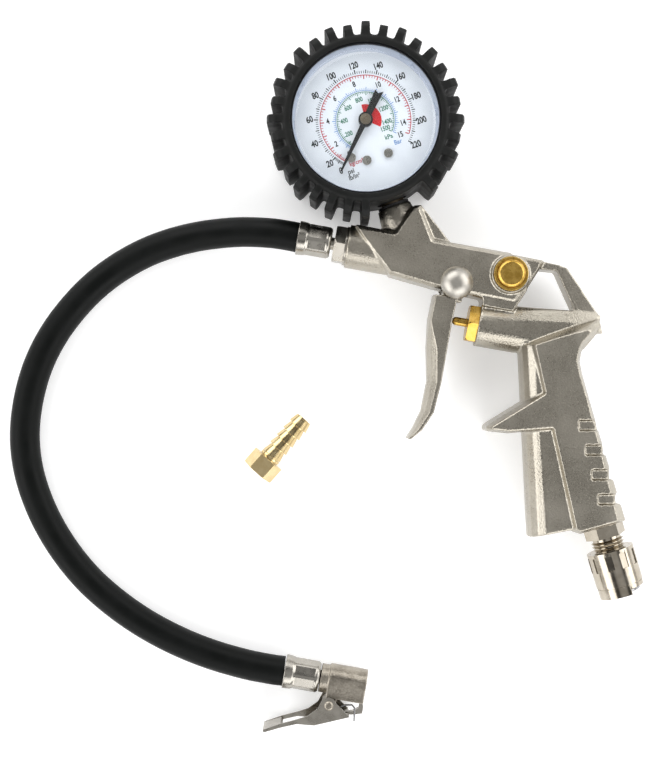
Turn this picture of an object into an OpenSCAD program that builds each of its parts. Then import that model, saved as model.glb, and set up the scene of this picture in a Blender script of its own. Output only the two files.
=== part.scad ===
// Portable tire inflator: pistol-grip air gun with a dial gauge in a rubber boot,
// a whip hose with a clip-on valve chuck, a quick coupler at the grip, and a loose brass hose tail.
// The gun lies on its side. Lengths are millimetres. Modules work in the gun's own frame:
// origin on the trigger pivot, X back along the barrel, Z out of the near side, z = 0 the mid-plane.

/* [Casting] */
// Height of the barrel's axis above the trigger pivot
barrel_y = 7.5; // [7.2:0.1:8]
// Outer diameter of the round barrel
barrel_d = 17.4; // [16.6:0.2:18.4]
// Front end of the barrel
barrel_x0 = -45; // [-48:0.5:-44]
// Half thickness of the head between its two side panels
head_half = 9.5; // [9.2:0.1:10]
// Half thickness of the grip over its raised plates
grip_half = 14; // [13.5:0.1:14.4]
// Half thickness of the two struts round the hanging window
strut_half = 6; // [5:0.2:8]
// Diameter of the air passages in the casting
passage_d = 4.6; // [3.6:0.2:5]
// Distance from the barrel's axis to the top of the gauge boss
boss_len = 21.6; // [20.6:0.2:22.4]
// Depth of the four grooves round the back of the grip
notch_depth = 2.6; // [1.6:0.2:3.4]
// Height of each groove along the back of the grip
notch_len = 4.2; // [3:0.2:5.6]

/* [Trigger and valve] */
// Diameter of the rivet that the trigger swings on
rivet_d = 4.2; // [3.4:0.1:4.6]
// Diameter of the rivet's domed heads
rivet_head_d = 13.2; // [12:0.2:14]
// Width of the trigger between its side faces
trigger_w = 18.6; // [16:0.2:19.4]
// Width of the trigger's tongue in the slot of the head
tongue_w = 8.4; // [7:0.2:9.4]
// Depth of the valve's axis below the trigger pivot
valve_y = 14.4; // [14:0.1:15]
// Diameter of the valve stem that the trigger pushes
stem_d = 3.4; // [2.8:0.1:3.8]
// Size across the flats of the brass valve nut
valve_nut_af = 14; // [13:0.25:15]
// Bore of the valve chamber behind the seat
chamber_d = 9; // [8:0.2:10]
// Travel of the valve stem
stem_travel = 4; // [3:0.2:4.4]

/* [Bleed button] */
// Diameter of the brass crown that is pressed
crown_d = 11; // [10:0.2:11.8]
// Outer diameter of the brass guide round the crown
guide_d = 13.4; // [13:0.2:14.4]
// Height of the crown's top above the mid-plane
crown_top = 16; // [15.4:0.1:17]
// Travel of the button
bleed_travel = 1.5; // [1:0.1:1.8]

/* [Gauge] */
// Outer diameter of the steel case
case_d = 61; // [60:0.2:62]
// Wall of the case
case_wall = 1.2; // [0.8:0.1:1.6]
// Width of the bezel ring round the window
bezel_w = 2; // [1.8:0.1:3]
// Thickness of the rubber boot round the case
boot_wall = 2; // [1.7:0.1:3]
// Height of the boot's front edge above the mid-plane
boot_top = 20; // [19:0.2:21]
// Number of places for lugs round the boot
lug_count = 32; // [24:1:36]
// Width of one lug
lug_w = 3.3; // [2.6:0.1:4]
// Height of a lug over the band
lug_h = 6.1; // [4:0.1:6.5]
// Height of the dial face above the mid-plane
dial_z = 12; // [11:0.1:12.6]
// Reach of the pointer from its hub
pointer_reach = 22; // [18:0.5:24]
// Sweep of the pointer over the whole scale, in degrees
pointer_sweep = 270; // [240:5:280]

/* [Hose and chuck] */
// Outer diameter of the rubber hose
hose_d = 12; // [11:0.2:12.6]
// Bore of the hose
hose_bore = 6.4; // [5.6:0.2:7]
// Length of each crimped ferrule
ferrule_len = 13.4; // [12:0.2:13.6]
// Size across the flats of the hose fitting's hexagon
hose_hex_af = 14; // [13:0.25:15]
// Length of the chuck's body
chuck_len = 18.5; // [17:0.25:20]
// Height of the chuck's axis above the table
chuck_up = 8; // [7.8:0.05:8.6]
// Bore of the chuck's mouth that takes a tyre valve
chuck_bore = 8; // [7.6:0.1:8.4]
// Thickness of the lever's steel strip
lever_t = 0.9; // [0.6:0.1:1]

/* [Coupler] */
// Size across the flats of the inlet hexagon
inlet_af = 14; // [13:0.25:15]
// Thread diameter of the inlet, G1/4
inlet_thread_d = 13.1; // [12.6:0.1:13.2]
// Outer diameter of the coupler's sleeve
sleeve_d = 18.8; // [18:0.1:19.4]
// Length of the coupler's sleeve up to its shoulder
sleeve_len = 14.3; // [13.5:0.1:15]
// Bore of the coupler's mouth that takes a plug
mouth_d = 10.1; // [9.6:0.1:10.4]
// Travel of the sleeve towards the grip
sleeve_travel = 3; // [2:0.2:3.4]

/* [Loose hose tail] */
// Length of the whole hose tail
tail_len = 29.4; // [27:0.2:32]
// Size across the flats of its nut
tail_nut_af = 12; // [11.6:0.1:12.6]
// Largest diameter of its barbs
tail_barb_d = 8.6; // [7.6:0.1:9.4]
// Number of barbs
tail_barbs = 5; // [3:1:6]

/* [Fits] */
// Radial gap of a turning or sliding fit
run_gap = 0.06; // [0.04:0.01:0.08]
// Gap between pieces that only lie beside each other
free_gap = 0.3; // [0.25:0.05:0.4]

/* [Hidden] */
$fn = 64;
facet_fn = 32;
// place of the row's origin in the gun's frame, and height of the mid-plane over the table
origin_x = 5;
origin_y = -9.9;
mid_height = grip_half;

module placed() {
    translate([-origin_x, -origin_y, mid_height]) children();
}

// cylinder along X between two stations, centred on y, z
module along_x(x0, x1, d, y = 0, z = 0) {
    translate([x0, y, z]) rotate([0, 90, 0]) cylinder(h = x1 - x0, d = d);
}

// cylinder along Z between two heights
module along_z(z0, z1, d) {
    translate([0, 0, z0]) cylinder(h = z1 - z0, d = d);
}

// ring along Z between two heights
module ring_z(z0, z1, outer, inner) {
    difference() {
        along_z(z0, z1, outer);
        translate([0, 0, z0 - 1]) cylinder(h = z1 - z0 + 2, d = inner);
    }
}

// hexagonal bar along Z, given across its flats
module hex_z(z0, z1, af) {
    translate([0, 0, z0]) cylinder(h = z1 - z0, d = af / cos(30), $fn = 6);
}

// plate with chamfered rims: the mid outline low, the face outline on top, both sides alike
module bevelled(mid, mid_half, face, face_half) {
    hull() {
        linear_extrude(height = 2 * mid_half, center = true) polygon(mid);
        linear_extrude(height = 2 * face_half, center = true) polygon(face);
    }
}

// ---- Casting: barrel, head, gauge boss, hanging window, valve block and grip ----

// front and back lines of the grip: the grip and its notches lean by this angle from -Y
grip_lean = 26.5;
inlet_x = 74.7;
inlet_y = -84.2;
inlet_angle = -90 + grip_lean;
boss_x = -18.5;
boss_lean = 30;
case_r = case_d / 2;
boot_d = case_d + 2 * boot_wall;
window_d = case_d - 2 * bezel_w;
stem_gap = 1.8;
hub_up = boss_len + stem_gap + boot_d / 2;
hub_x = boss_x - hub_up * sin(boss_lean);
hub_y = barrel_y + hub_up * cos(boss_lean);
button_x = 20;
button_y = 6.8;
boss_top_z = crown_top - 3.6;
valve_face_x = 11.5;
valve_block_d = 17.2;
valve_thread_d = 11;
valve_thread_depth = 7;
slot_r = rivet_d / 2 + 2.3;
lug_r = 5.5;
hose_thread_d = 9.7;
hose_thread_depth = 9;
socket_thread_d = 9.7;
socket_depth = 10;
bleed_thread_d = 12.4;
bleed_socket_z = boss_top_z - 8;
inlet_thread_depth = 9;
valve_seat_x = 24;
poppet_len = 3;
valve_chamber_x1 = valve_seat_x + poppet_len + stem_travel + 10;
notch_count = 4;
notch_step_x = 4.1;
notch_step_y = 9.07;
notch_turn = 10.5;

// stands on the barrel's axis and looks along the boss towards the gauge
module on_boss() {
    translate([boss_x, barrel_y, 0]) rotate([0, 0, boss_lean]) rotate([-90, 0, 0]) children();
}

// stands in the middle of the grip's foot and looks out along the inlet
module on_inlet() {
    translate([inlet_x, inlet_y, 0]) rotate([0, 0, inlet_angle]) rotate([0, 90, 0]) children();
}

module on_button() {
    translate([button_x, button_y, 0]) children();
}

module head_plate() {
    bevelled(
        [[-43.5, 16.0], [-26.6, -1.4], [-8, -3.3], [24.9, -4.8], [31.5, 11.2], [32.5, 14.7]], head_half - 1.7,
        [[-41.9, 14.2], [-26.6, 0.1], [-8, -1.9], [23.2, -2.6], [30.4, 10.8], [31.0, 13.6]], head_half
    );
}

// plate between the head and the valve block, behind the trigger's rivet
module head_web() {
    linear_extrude(height = 2 * head_half - 1.4, center = true)
        polygon([[10.2, -2], [valve_face_x, -5.2], [valve_face_x, -7], [24, -7], [28, 2]]);
}

module gauge_gusset() {
    bevelled(
        [[-30, 10], [-21.9, 27.2], [-19.6, 27.8], [-11.4, 14.6], [-11, 8]], head_half - 1.4,
        [[-28.6, 10], [-21.4, 26.2], [-20.0, 26.5], [-12.5, 13.8], [-12, 10]], head_half
    );
    linear_extrude(height = 2 * head_half - 8, center = true)
        polygon([[-30, 10], [-21.4, 27], [-19.0, 28.4], [-5.1, 15.8], [-5, 8]]);
}

module window_struts() {
    linear_extrude(height = 2 * strut_half, center = true)
        polygon([
            [28, 11.0], [31.3, 11.2], [38.5, 11.7], [48.3, -2.8], [46.5, -8],
            [60.9, -9.8], [57.2, -2.0], [42.4, 13.6], [39.0, 14.2], [28, 14.75]
        ]);
}

module valve_block() {
    hull() {
        along_x(valve_face_x, valve_face_x + 16, valve_block_d, -valve_y, $fn = facet_fn);
        translate([46, -17, -8.6]) cube([8, 9.2, 17.2]);
        translate([46, -10, -6.4]) cube([6, 7.2, 12.8]);
        translate([57, -9.6, -6.5]) cube([1.6, 7, 13]);
    }
}

module grip_front() {
    hull() {
        linear_extrude(height = 5, center = true)
            polygon([[28.8, -19], [30.7, -26.2], [45.9, -94.1], [66, -86.2], [52, -22]]);
        linear_extrude(height = 13, center = true)
            polygon([[29.6, -19], [31.6, -26.3], [46.8, -93.8], [66, -86.2], [52, -22]]);
        linear_extrude(height = 19, center = true)
            polygon([[31.5, -19], [33.7, -26.6], [48.9, -92.9], [66, -86.2], [52, -22]]);
        linear_extrude(height = 22.6, center = true)
            polygon([[34.4, -20], [36.9, -27.4], [51.9, -91.4], [66, -86.0], [52, -24]]);
    }
}

// the grip's side plates: outline of the thick middle, and of the flat faces, point for point
grip_mid = [
    [32.6, -18.2], [39.6, -14.0], [47.4, -9.6], [57.4, -4.6], [58.8, -6.4], [57.0, -10.8], [54.5, -14.4],
    [53.0, -18.2], [53.0, -22.2], [54.7, -26.6], [58.4, -34.2], [63.3, -44.4], [81.7, -80.7], [65.0, -89.03],
    [61.6, -88.6]
];
grip_face = [
    [34.0, -19.0], [40.0, -15.9], [46.8, -12.6], [53.6, -9.6], [54.6, -10.4], [53.4, -12.6], [51.6, -15.6],
    [51.2, -19.0], [51.4, -22.6], [53.0, -26.5], [56.7, -34.0], [61.4, -44.2], [77.8, -81.2], [64.4, -87.6],
    [62.6, -87.3]
];

module grip_plate() {
    mid_half = grip_half - 4.6;
    rings = [[grip_face, grip_half], [grip_mid, mid_half], [grip_mid, -mid_half], [grip_face, -grip_half]];
    points = [for (ring = rings) for (p = ring[0]) [p[0], p[1], ring[1]]];
    polyhedron(points = points, faces = skin_faces(len(rings), len(grip_mid)));
}

// tongue in front of the grip, with flat sides at the height of the plates
module grip_prong() {
    bevelled(
        [
            [45.5, -34], [40.8, -36.1], [34.3, -42.1], [22.2, -52.6], [21.2, -54.0], [21.8, -55.6],
            [30.2, -55.0], [48, -50]
        ], 8.5,
        [[52, -36], [41.2, -37.3], [34.5, -43.4], [23.4, -53.0], [22.9, -54.4], [30.4, -53.9], [52, -48.4]],
        grip_half - 0.05
    );
}

module pivot_lug() {
    along_z(-head_half, head_half, 2 * lug_r);
}

module gauge_boss() {
    on_boss() cylinder(h = boss_len, d1 = 19.4, d2 = 13.6);
}

module button_boss() {
    on_button() along_z(-head_half, boss_top_z, guide_d + 1.6);
}

// square grooves that run round the back of the grip, square to the barrel's slant
module back_notches() {
    for (i = [0 : notch_count - 1]) {
        translate([55.9 + i * notch_step_x, -45 - i * notch_step_y, 0]) rotate([0, 0, notch_turn])
            translate([0, -notch_len, 0]) notch_cut();
    }
}

module notch_cut() {
    for (side = [0, 1]) mirror([0, 0, side])
        translate([0, 0, grip_half - notch_depth]) cube([14, notch_len, notch_depth + 1]);
    translate([7.4, 0, -grip_half]) cube([7, notch_len, 2 * grip_half]);
}

module casting_bores() {
    along_x(barrel_x0 - 1, barrel_x0 + hose_thread_depth, hose_thread_d + 2 * run_gap, barrel_y);
    along_x(barrel_x0, button_x, passage_d, barrel_y);
    on_boss() cylinder(h = boss_len + 1, d = passage_d);
    on_boss() translate([0, 0, boss_len - socket_depth])
        cylinder(h = socket_depth + 1, d = socket_thread_d + 2 * run_gap);
    on_button() along_z(-passage_d / 2, boss_top_z + 1, passage_d + 2.4);
    on_button() along_z(bleed_socket_z, boss_top_z + 1, bleed_thread_d + 2 * run_gap);
    along_z(-head_half - 1, head_half + 1, rivet_d + 2 * run_gap);
    along_x(valve_face_x - 1, valve_face_x + valve_thread_depth, valve_thread_d + 2 * run_gap, -valve_y);
    along_x(valve_face_x, valve_seat_x + 1, chamber_d - 3, -valve_y);
    along_x(valve_seat_x, valve_chamber_x1, chamber_d, -valve_y);
    translate([button_x + 1, -valve_y, 0]) rotate([-90, 0, 0])
        cylinder(h = valve_y + barrel_y - 2, d = passage_d - 0.6);
    on_inlet() along_z(-78.2, 1, passage_d + 1.4);
    on_inlet() along_z(-inlet_thread_depth, 1, inlet_thread_d + 2 * run_gap);
}

// slot under the head for the trigger's tongue
module tongue_slot() {
    half = tongue_w / 2 + free_gap;
    along_z(-half, half, 2 * slot_r + 0.8);
    translate([-slot_r - 0.4, -12, -half]) cube([2 * slot_r + 1.6, 12, 2 * half]);
}

module gun_body() {
    placed() color([0.72, 0.70, 0.67]) difference() {
        union() {
            along_x(barrel_x0, 20, barrel_d, barrel_y);
            head_plate();
            head_web();
            gauge_boss();
            gauge_gusset();
            window_struts();
            valve_block();
            grip_front();
            grip_plate();
            grip_prong();
            pivot_lug();
            button_boss();
        }
        casting_bores();
        tongue_slot();
        back_notches();
    }
}

// ---- Trigger and valve ----

stem_tip_x = 1.35;
nut_x0 = 7.4;
nut_x1 = valve_face_x;
poppet_d = chamber_d - 1.2;
poppet_x = valve_seat_x + 0.05;
rivet_head_h = 4;
rivet_half = head_half;

// stations down the trigger: height, front edge at the middle, front edge of the side face, rear edge
trigger_stations = [
    [-5.9, -8.0, -7.2, 1.3], [-16, -8.3, -7.5, 0.9], [-27, -7.0, -3.0, 0.8], [-40, -4.4, -0.8, 0.9],
    [-52, -4.7, -1.6, 0.0], [-59.6, -6.9, -5.0, -3.3], [-63.9, -8.7, -8.3, -7.0]
];

// section of the trigger at one station: rounded front, flat sides, flat back
function trigger_section(s) = let (half = trigger_w / 2, shoulder = s[1] + (s[2] - s[1]) * 0.4) [
    [s[1], s[0], -half + 5.5], [shoulder, s[0], -half + 2.2], [s[2], s[0], -half], [s[3], s[0], -half],
    [s[3], s[0], half], [s[2], s[0], half], [shoulder, s[0], half - 2.2], [s[1], s[0], half - 5.5]
];

// closed skin over rings of m points each, given from the first ring to the last
function skin_faces(n, m) = concat(
    [for (i = [0 : n - 2]) for (k = [0 : m - 1]) let (a = i * m + k, b = i * m + (k + 1) % m)
        each [[a, b + m, b], [a, a + m, b + m]]],
    [for (k = [1 : m - 2]) [0, k, k + 1]],
    [for (k = [1 : m - 2]) [(n - 1) * m, (n - 1) * m + k + 1, (n - 1) * m + k]]
);

module trigger_blade() {
    n = len(trigger_stations);
    points = [for (s = trigger_stations) each trigger_section(s)];
    polyhedron(points = points, faces = skin_faces(n, 8));
}

module trigger() {
    placed() color([0.74, 0.72, 0.69]) difference() {
        union() {
            trigger_blade();
            along_z(-tongue_w / 2, tongue_w / 2, 2 * slot_r);
            translate([-slot_r, -7, -tongue_w / 2]) cube([2 * slot_r - 0.8, 7, tongue_w]);
        }
        along_z(-trigger_w, trigger_w, rivet_d + 2 * run_gap);
    }
}

// snap rivet: domed head on the near side, pin through head and trigger
module trigger_rivet() {
    placed() color([0.80, 0.79, 0.77]) union() {
        along_z(-rivet_half - 1.2, rivet_half + 0.2, rivet_d);
        translate([0, 0, rivet_half]) rivet_dome();
    }
}

module rivet_dome() {
    dome_r = (rivet_head_d * rivet_head_d / 4 + rivet_head_h * rivet_head_h) / (2 * rivet_head_h);
    intersection() {
        translate([0, 0, rivet_head_h - dome_r]) sphere(r = dome_r);
        along_z(0, rivet_head_h + 1, rivet_head_d);
    }
}

// domed cap pressed on the far end of the rivet's pin
module rivet_washer() {
    placed() color([0.80, 0.79, 0.77]) difference() {
        mirror([0, 0, 1]) translate([0, 0, rivet_half]) rivet_dome();
        along_z(-rivet_half - 1.3, -rivet_half + 1, rivet_d + 2 * run_gap);
    }
}

module on_valve() {
    translate([0, -valve_y, 0]) rotate([0, 90, 0]) children();
}

module valve_nut() {
    placed() color([0.80, 0.62, 0.25]) difference() {
        union() {
            on_valve() intersection() {
                hex_z(nut_x0, nut_x1, valve_nut_af);
                translate([0, 0, nut_x0]) cylinder(h = 6, d1 = valve_nut_af + 1.2, d2 = valve_nut_af + 6);
            }
            on_valve() along_z(nut_x1 - 0.5, valve_face_x + valve_thread_depth - 0.6, valve_thread_d);
        }
        on_valve() along_z(nut_x0 - 1, valve_face_x + valve_thread_depth, stem_d + 2 * run_gap);
    }
}

// rubber seat that the poppet closes on
module valve_seal() {
    placed() color([0.10, 0.10, 0.10])
        on_valve() ring_z(valve_seat_x - 1.6, valve_seat_x, chamber_d - 3.2, stem_d + 1.4);
}

module valve_stem() {
    placed() color([0.76, 0.58, 0.24]) union() {
        along_x(stem_tip_x + stem_d / 2, poppet_x + 0.5, stem_d, -valve_y);
        translate([stem_tip_x + stem_d / 2, -valve_y, 0]) sphere(d = stem_d);
        along_x(poppet_x, poppet_x + poppet_len, poppet_d, -valve_y);
        along_x(poppet_x + poppet_len - 0.2, poppet_x + poppet_len + 2.4, 3.6, -valve_y);
    }
}

// one unbroken coil along Z from z0 to z1, as a six-sided tube
function coil_point(t, z0, z1, r, turns) =
    [r * cos(360 * turns * t), r * sin(360 * turns * t), z0 + (z1 - z0) * t];
function coil_ring(t, z0, z1, r, turns, wire, sides) = let (
    p = coil_point(t, z0, z1, r, turns),
    a = 360 * turns * t
) [
    for (k = [0 : sides - 1]) let (b = 360 * k / sides) [
        p[0] + wire * cos(b) * cos(a), p[1] + wire * cos(b) * sin(a), p[2] + wire * sin(b)
    ]
];

module coil_spring(z0, z1, d, wire_d, turns, steps = 8, sides = 6) {
    n = turns * steps;
    w = wire_d / 2;
    rings = [for (i = [0 : n]) coil_ring(i / n, z0 + w, z1 - w, d / 2 - w, turns, w, sides)];
    points = [for (ring = rings) each ring];
    polyhedron(points = points, faces = skin_faces(n + 1, sides));
}

module valve_spring() {
    placed() color([0.72, 0.72, 0.74])
        on_valve() coil_spring(poppet_x + poppet_len + 0.05, valve_chamber_x1 - 0.1, chamber_d - 1.6, 0.8, 6);
}

// ---- Bleed button ----

guide_bore = crown_d + 2 * run_gap;
guide_low = bleed_socket_z + 0.4;
crown_low = boss_top_z - 1.4;
guide_floor = crown_low - bleed_travel - 3.4;
plunger_top = bleed_socket_z;
shank_d = 3.2;
plunger_d = 5.2;

module bleed_guide() {
    placed() color([0.82, 0.64, 0.26]) on_button() difference() {
        union() {
            along_z(guide_low, boss_top_z + 0.1, bleed_thread_d);
            along_z(boss_top_z, boss_top_z + 1.8, guide_d);
        }
        along_z(guide_floor, crown_top, guide_bore);
        along_z(bleed_socket_z - 1, crown_top, shank_d + 2 * run_gap);
    }
}

module bleed_button() {
    dome_h = 0.9;
    placed() color([0.80, 0.60, 0.22]) on_button() union() {
        along_z(crown_low, crown_top - dome_h, crown_d);
        translate([0, 0, crown_top - dome_h]) cylinder(h = dome_h, d1 = crown_d, d2 = crown_d - 2.2);
        along_z(plunger_top - 1, crown_low + 0.2, shank_d);
        along_z(plunger_top - 3, plunger_top, plunger_d);
    }
}

module bleed_spring() {
    placed() color([0.72, 0.72, 0.74])
        on_button() coil_spring(guide_floor + 0.05, crown_low - 0.05, 8.4, 0.8, 3);
}

module bleed_seal() {
    placed() color([0.10, 0.10, 0.10])
        on_button() ring_z(plunger_top + 0.05, guide_low - 0.02, passage_d + 2, shank_d + 0.3);
}

// ---- Hose, its fitting and its two crimped ferrules ----

hex_x0 = barrel_x0 - 5.3;
ferrule_x1 = hex_x0 - 1.3;
ferrule_x0 = ferrule_x1 - ferrule_len;
hose_z = chuck_up - mid_height;
chuck_y = -165.35;
chuck_x0 = -25.5;
chuck_x1 = chuck_x0 + chuck_len;
chuck_ferrule_x1 = chuck_x0 - 0.4;
chuck_ferrule_x0 = chuck_ferrule_x1 - ferrule_len - 1;
barb_d = hose_bore - 0.2;
crimp_d = hose_d - 1.2;

// the hose's middle line from the gun to the chuck
hose_route = [
    [ferrule_x0, barrel_y, 0], [-69, 7.6, 0], [-76, 7.4, -0.4], [-86.9, 6.1, -1.8], [-97, 3.8, -3.4],
    [-106.5, 0.8, -5], [-116.1, -3.4, -6.4], [-125.6, -9, -7.4], [-135.2, -16.8, -7.9],
    [-143.6, -26, -7.9], [-150.8, -36.9, -7.9], [-156.5, -48.8, -7.9], [-160.1, -61.3, -7.9],
    [-161.5, -74.3, -7.9], [-160.9, -87.2, -7.9], [-158.2, -99, -7.9], [-153.2, -110.6, -7.9],
    [-145.8, -122.2, -7.9], [-136.4, -133, -7.9], [-125, -142.8, -7.9], [-112.1, -150.7, -7.9],
    [-98.7, -156.8, -7.9], [-84.8, -161.2, -7.6], [-70.9, -164, -7], [-57, -165.4, -6.4],
    [-46, -165.6, hose_z], [chuck_ferrule_x0, chuck_y, hose_z]
];
hose_sides = 12;
hose_steps = 3;

// smooth curve through the route's points
function spline(p0, p1, p2, p3, t) = 0.5 * (
    2 * p1 + (p2 - p0) * t + (2 * p0 - 5 * p1 + 4 * p2 - p3) * t * t
    + (3 * p1 - p0 - 3 * p2 + p3) * t * t * t
);
function route_point(i, t) = spline(
    hose_route[max(i - 1, 0)], hose_route[i], hose_route[i + 1],
    hose_route[min(i + 2, len(hose_route) - 1)], t
);
function unit(v) = v / norm(v);
// ring of points square to a direction that lies close to the XY plane
function tube_ring(p, dir, r, sides) = let (
    side = unit(cross([0, 0, 1], dir)),
    up = cross(dir, side)
) [for (k = [0 : sides - 1]) p + r * (cos(360 * k / sides) * side + sin(360 * k / sides) * up)];

// solid round bar along a line of points, with its ends square to the two given directions
module swept_bar(line, start_dir, end_dir, r, sides) {
    n = len(line) - 1;
    dirs = [for (i = [0 : n]) i == 0 ? start_dir : i == n ? end_dir : unit(line[i + 1] - line[i - 1])];
    points = [for (i = [0 : n]) each tube_ring(line[i], dirs[i], r, sides)];
    polyhedron(points = points, faces = [for (f = skin_faces(n + 1, sides)) [f[0], f[2], f[1]]]);
}

module hose() {
    last = len(hose_route) - 1;
    spans = [for (i = [0 : last - 1]) for (s = [0 : hose_steps - 1]) route_point(i, s / hose_steps)];
    placed() color([0.05, 0.06, 0.06])
        swept_bar(concat(spans, [hose_route[last]]), [-1, 0, 0], [1, 0, 0], hose_d / 2, hose_sides);
}

// steel fitting: thread in the barrel, hexagon, and a barbed tail inside the hose
module hose_fitting() {
    placed() color([0.78, 0.79, 0.80]) translate([0, barrel_y, 0]) rotate([0, 90, 0]) difference() {
        union() {
            along_z(barrel_x0 - 0.1, barrel_x0 + hose_thread_depth - 0.5, hose_thread_d);
            along_z(barrel_x0 - 1, barrel_x0, hose_hex_af + 1.6);
            intersection() {
                hex_z(hex_x0, barrel_x0 - 1, hose_hex_af);
                translate([0, 0, hex_x0]) cylinder(h = 5, d1 = hose_hex_af + 0.6, d2 = hose_hex_af + 8);
            }
            along_z(ferrule_x0 + 0.5, hex_x0 + 0.1, barb_d - 1.2);
            for (i = [0 : 3]) translate([0, 0, ferrule_x0 + 1 + 3 * i])
                cylinder(h = 2.4, d1 = barb_d - 1.2, d2 = barb_d);
        }
        along_z(ferrule_x0, barrel_x0 + hose_thread_depth, passage_d - 1.2);
    }
}

// crimped end of the hose over a barbed tail
module crimped_end(x0, x1) {
    translate([x0, 0, 0]) rotate([0, 90, 0]) difference() {
        along_z(0, x1 - x0, crimp_d);
        along_z(-1, x1 - x0 + 1, barb_d + 0.1);
    }
}

// pressed sleeve: flared collar at the hose, flats round the crimp, turned-in far end
module ferrule(x0, x1) {
    flats = 8;
    collar = 3.4;
    translate([x0, 0, 0]) rotate([0, 90, 0]) difference() {
        union() {
            cylinder(h = collar, d1 = hose_d + 1.8, d2 = hose_d + 1.2);
            along_z(collar - 0.1, x1 - x0 - 1, hose_d + 0.7);
            translate([0, 0, x1 - x0 - 1]) cylinder(h = 1, d1 = hose_d + 0.7, d2 = hose_d - 0.6);
        }
        along_z(-1, x1 - x0 - 0.8, crimp_d + 0.1);
        along_z(x1 - x0 - 1, x1 - x0 + 1, barb_d + 0.4);
        for (k = [0 : flats - 1]) rotate([0, 0, (k + 0.5) * 360 / flats])
            translate([hose_d / 2 + 0.05, -1.9, collar + 0.6]) cube([3, 3.8, x1 - x0 - collar - 2.2]);
    }
}

module hose_end_gun() {
    placed() color([0.06, 0.07, 0.07])
        translate([0, barrel_y, 0]) crimped_end(ferrule_x0 + 0.02, ferrule_x1 - 0.9);
}

module hose_ferrule() {
    placed() color([0.80, 0.79, 0.77]) translate([0, barrel_y, 0]) ferrule(ferrule_x0, ferrule_x1);
}

module at_chuck() {
    translate([0, chuck_y, hose_z]) children();
}

module hose_end_chuck() {
    placed() color([0.06, 0.07, 0.07])
        at_chuck() crimped_end(chuck_ferrule_x0 + 0.02, chuck_ferrule_x1 - 0.9);
}

module chuck_ferrule() {
    placed() color([0.80, 0.79, 0.77]) at_chuck() ferrule(chuck_ferrule_x0, chuck_ferrule_x1);
}

// ---- Clip-on valve chuck ----

chuck_d = 12.9;
chuck_side = 6.1;
ear_r = 2.7;
pivot_x = -20.4;
pivot_dy = -9.2;
pin_d = 2.4;
ear_half = 4.6;
lever_in = chuck_side + 0.35;
lever_out = lever_in + lever_t;
mouth_depth = 9;
// smooth part of the mouth that the tyre valve enters, and the narrower bore behind it
land_len = 5.8;
seat_bore = chuck_bore - 0.4;
slot_x = -9.9;

module chuck_body() {
    placed() color([0.77, 0.75, 0.72]) at_chuck() difference() {
        union() {
            intersection() {
                along_x(chuck_x0 + 3.4, chuck_x1, chuck_d);
                translate([-60, -20, -chuck_side]) cube([60, 40, 2 * chuck_side]);
            }
            along_x(chuck_x0, chuck_x0 + 3.5, chuck_d - 1.4);
            translate([chuck_x0 + 3.4, -chuck_d / 2, -chuck_side])
                cube([chuck_len - 3.4, chuck_d / 2 - 1, 2 * chuck_side]);
            translate([pivot_x, pivot_dy, 0]) along_z(-ear_half, ear_half, 2 * ear_r);
            translate([chuck_x0 + 3.4, pivot_dy, -ear_half])
                cube([pivot_x + ear_r - chuck_x0 - 3.4, 6, 2 * ear_half]);
            along_x(chuck_ferrule_x0 + 1, chuck_x0 + 0.1, barb_d - 0.6);
        }
        along_x(chuck_x1 - mouth_depth, chuck_x1 + 1, seat_bore);
        along_x(chuck_x1 - land_len, chuck_x1 + 1, chuck_bore);
        along_x(-60, chuck_x1, 2.4);
        along_x(chuck_x1 - mouth_depth - 3.5, chuck_x1, 5);
        translate([pivot_x, pivot_dy, 0]) along_z(-20, 20, pin_d + 2 * run_gap);
        translate([slot_x, -14, -2]) cube([-slot_x, 14, 4]);
    }
}

// rubber washer at the bottom of the mouth
module chuck_seal() {
    placed() color([0.08, 0.08, 0.08]) at_chuck() translate([chuck_x1 - mouth_depth + 0.02, 0, 0])
        rotate([0, 90, 0]) ring_z(0, 2, seat_bore - 0.1, 4.2);
}

// pin that opens the tyre's valve core
module chuck_depressor() {
    x0 = chuck_x1 - mouth_depth - 3.4;
    placed() color([0.80, 0.62, 0.25]) at_chuck() difference() {
        union() {
            along_x(x0, x0 + 2.4, 4.9);
            along_x(x0 + 2, x0 + 6.4, 1.6);
        }
        for (k = [0 : 2]) rotate([120 * k, 0, 0]) along_x(x0 - 1, x0 + 3, 1, 1.6);
    }
}

// folded steel lever: two cheeks with arms beside the body, joined by a thumb pad and a strap below
module chuck_lever() {
    placed() color([0.78, 0.77, 0.75]) at_chuck() difference() {
        union() {
            for (side = [0, 1]) mirror([0, 0, side]) translate([0, 0, lever_in]) lever_cheek();
            lever_strap();
            lever_jaw();
        }
        translate([pivot_x, pivot_dy, 0]) along_z(-20, 20, pin_d + 2 * run_gap);
    }
}

module lever_cheek() {
    linear_extrude(height = lever_t)
        polygon([
            [-17.4, -8.1], [-18.9, -6.3], [-21.0, -5.8], [-23.2, -7.0], [-24.6, -11.2], [-28.0, -14.7],
            [-32.0, -16.8], [-38.2, -19.6], [-44.8, -23.2], [-44.3, -24.2], [-37.9, -21.1], [-31.9, -18.6],
            [-24.8, -17.9], [-11.6, -12.3], [-12.3, -11.6]
        ]);
}

module lever_strap() {
    linear_extrude(height = 2 * lever_out, center = true) {
        polygon([[-44.3, -24.2], [-37.9, -21.1], [-37.3, -20.3], [-38.2, -19.8], [-44.8, -23.2]]);
        polygon([
            [-28.6, -18.3], [-24.8, -17.9], [-11.6, -12.3], [-12.1, -11.6], [-25.0, -17.0], [-28.6, -17.4]
        ]);
    }
}

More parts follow.
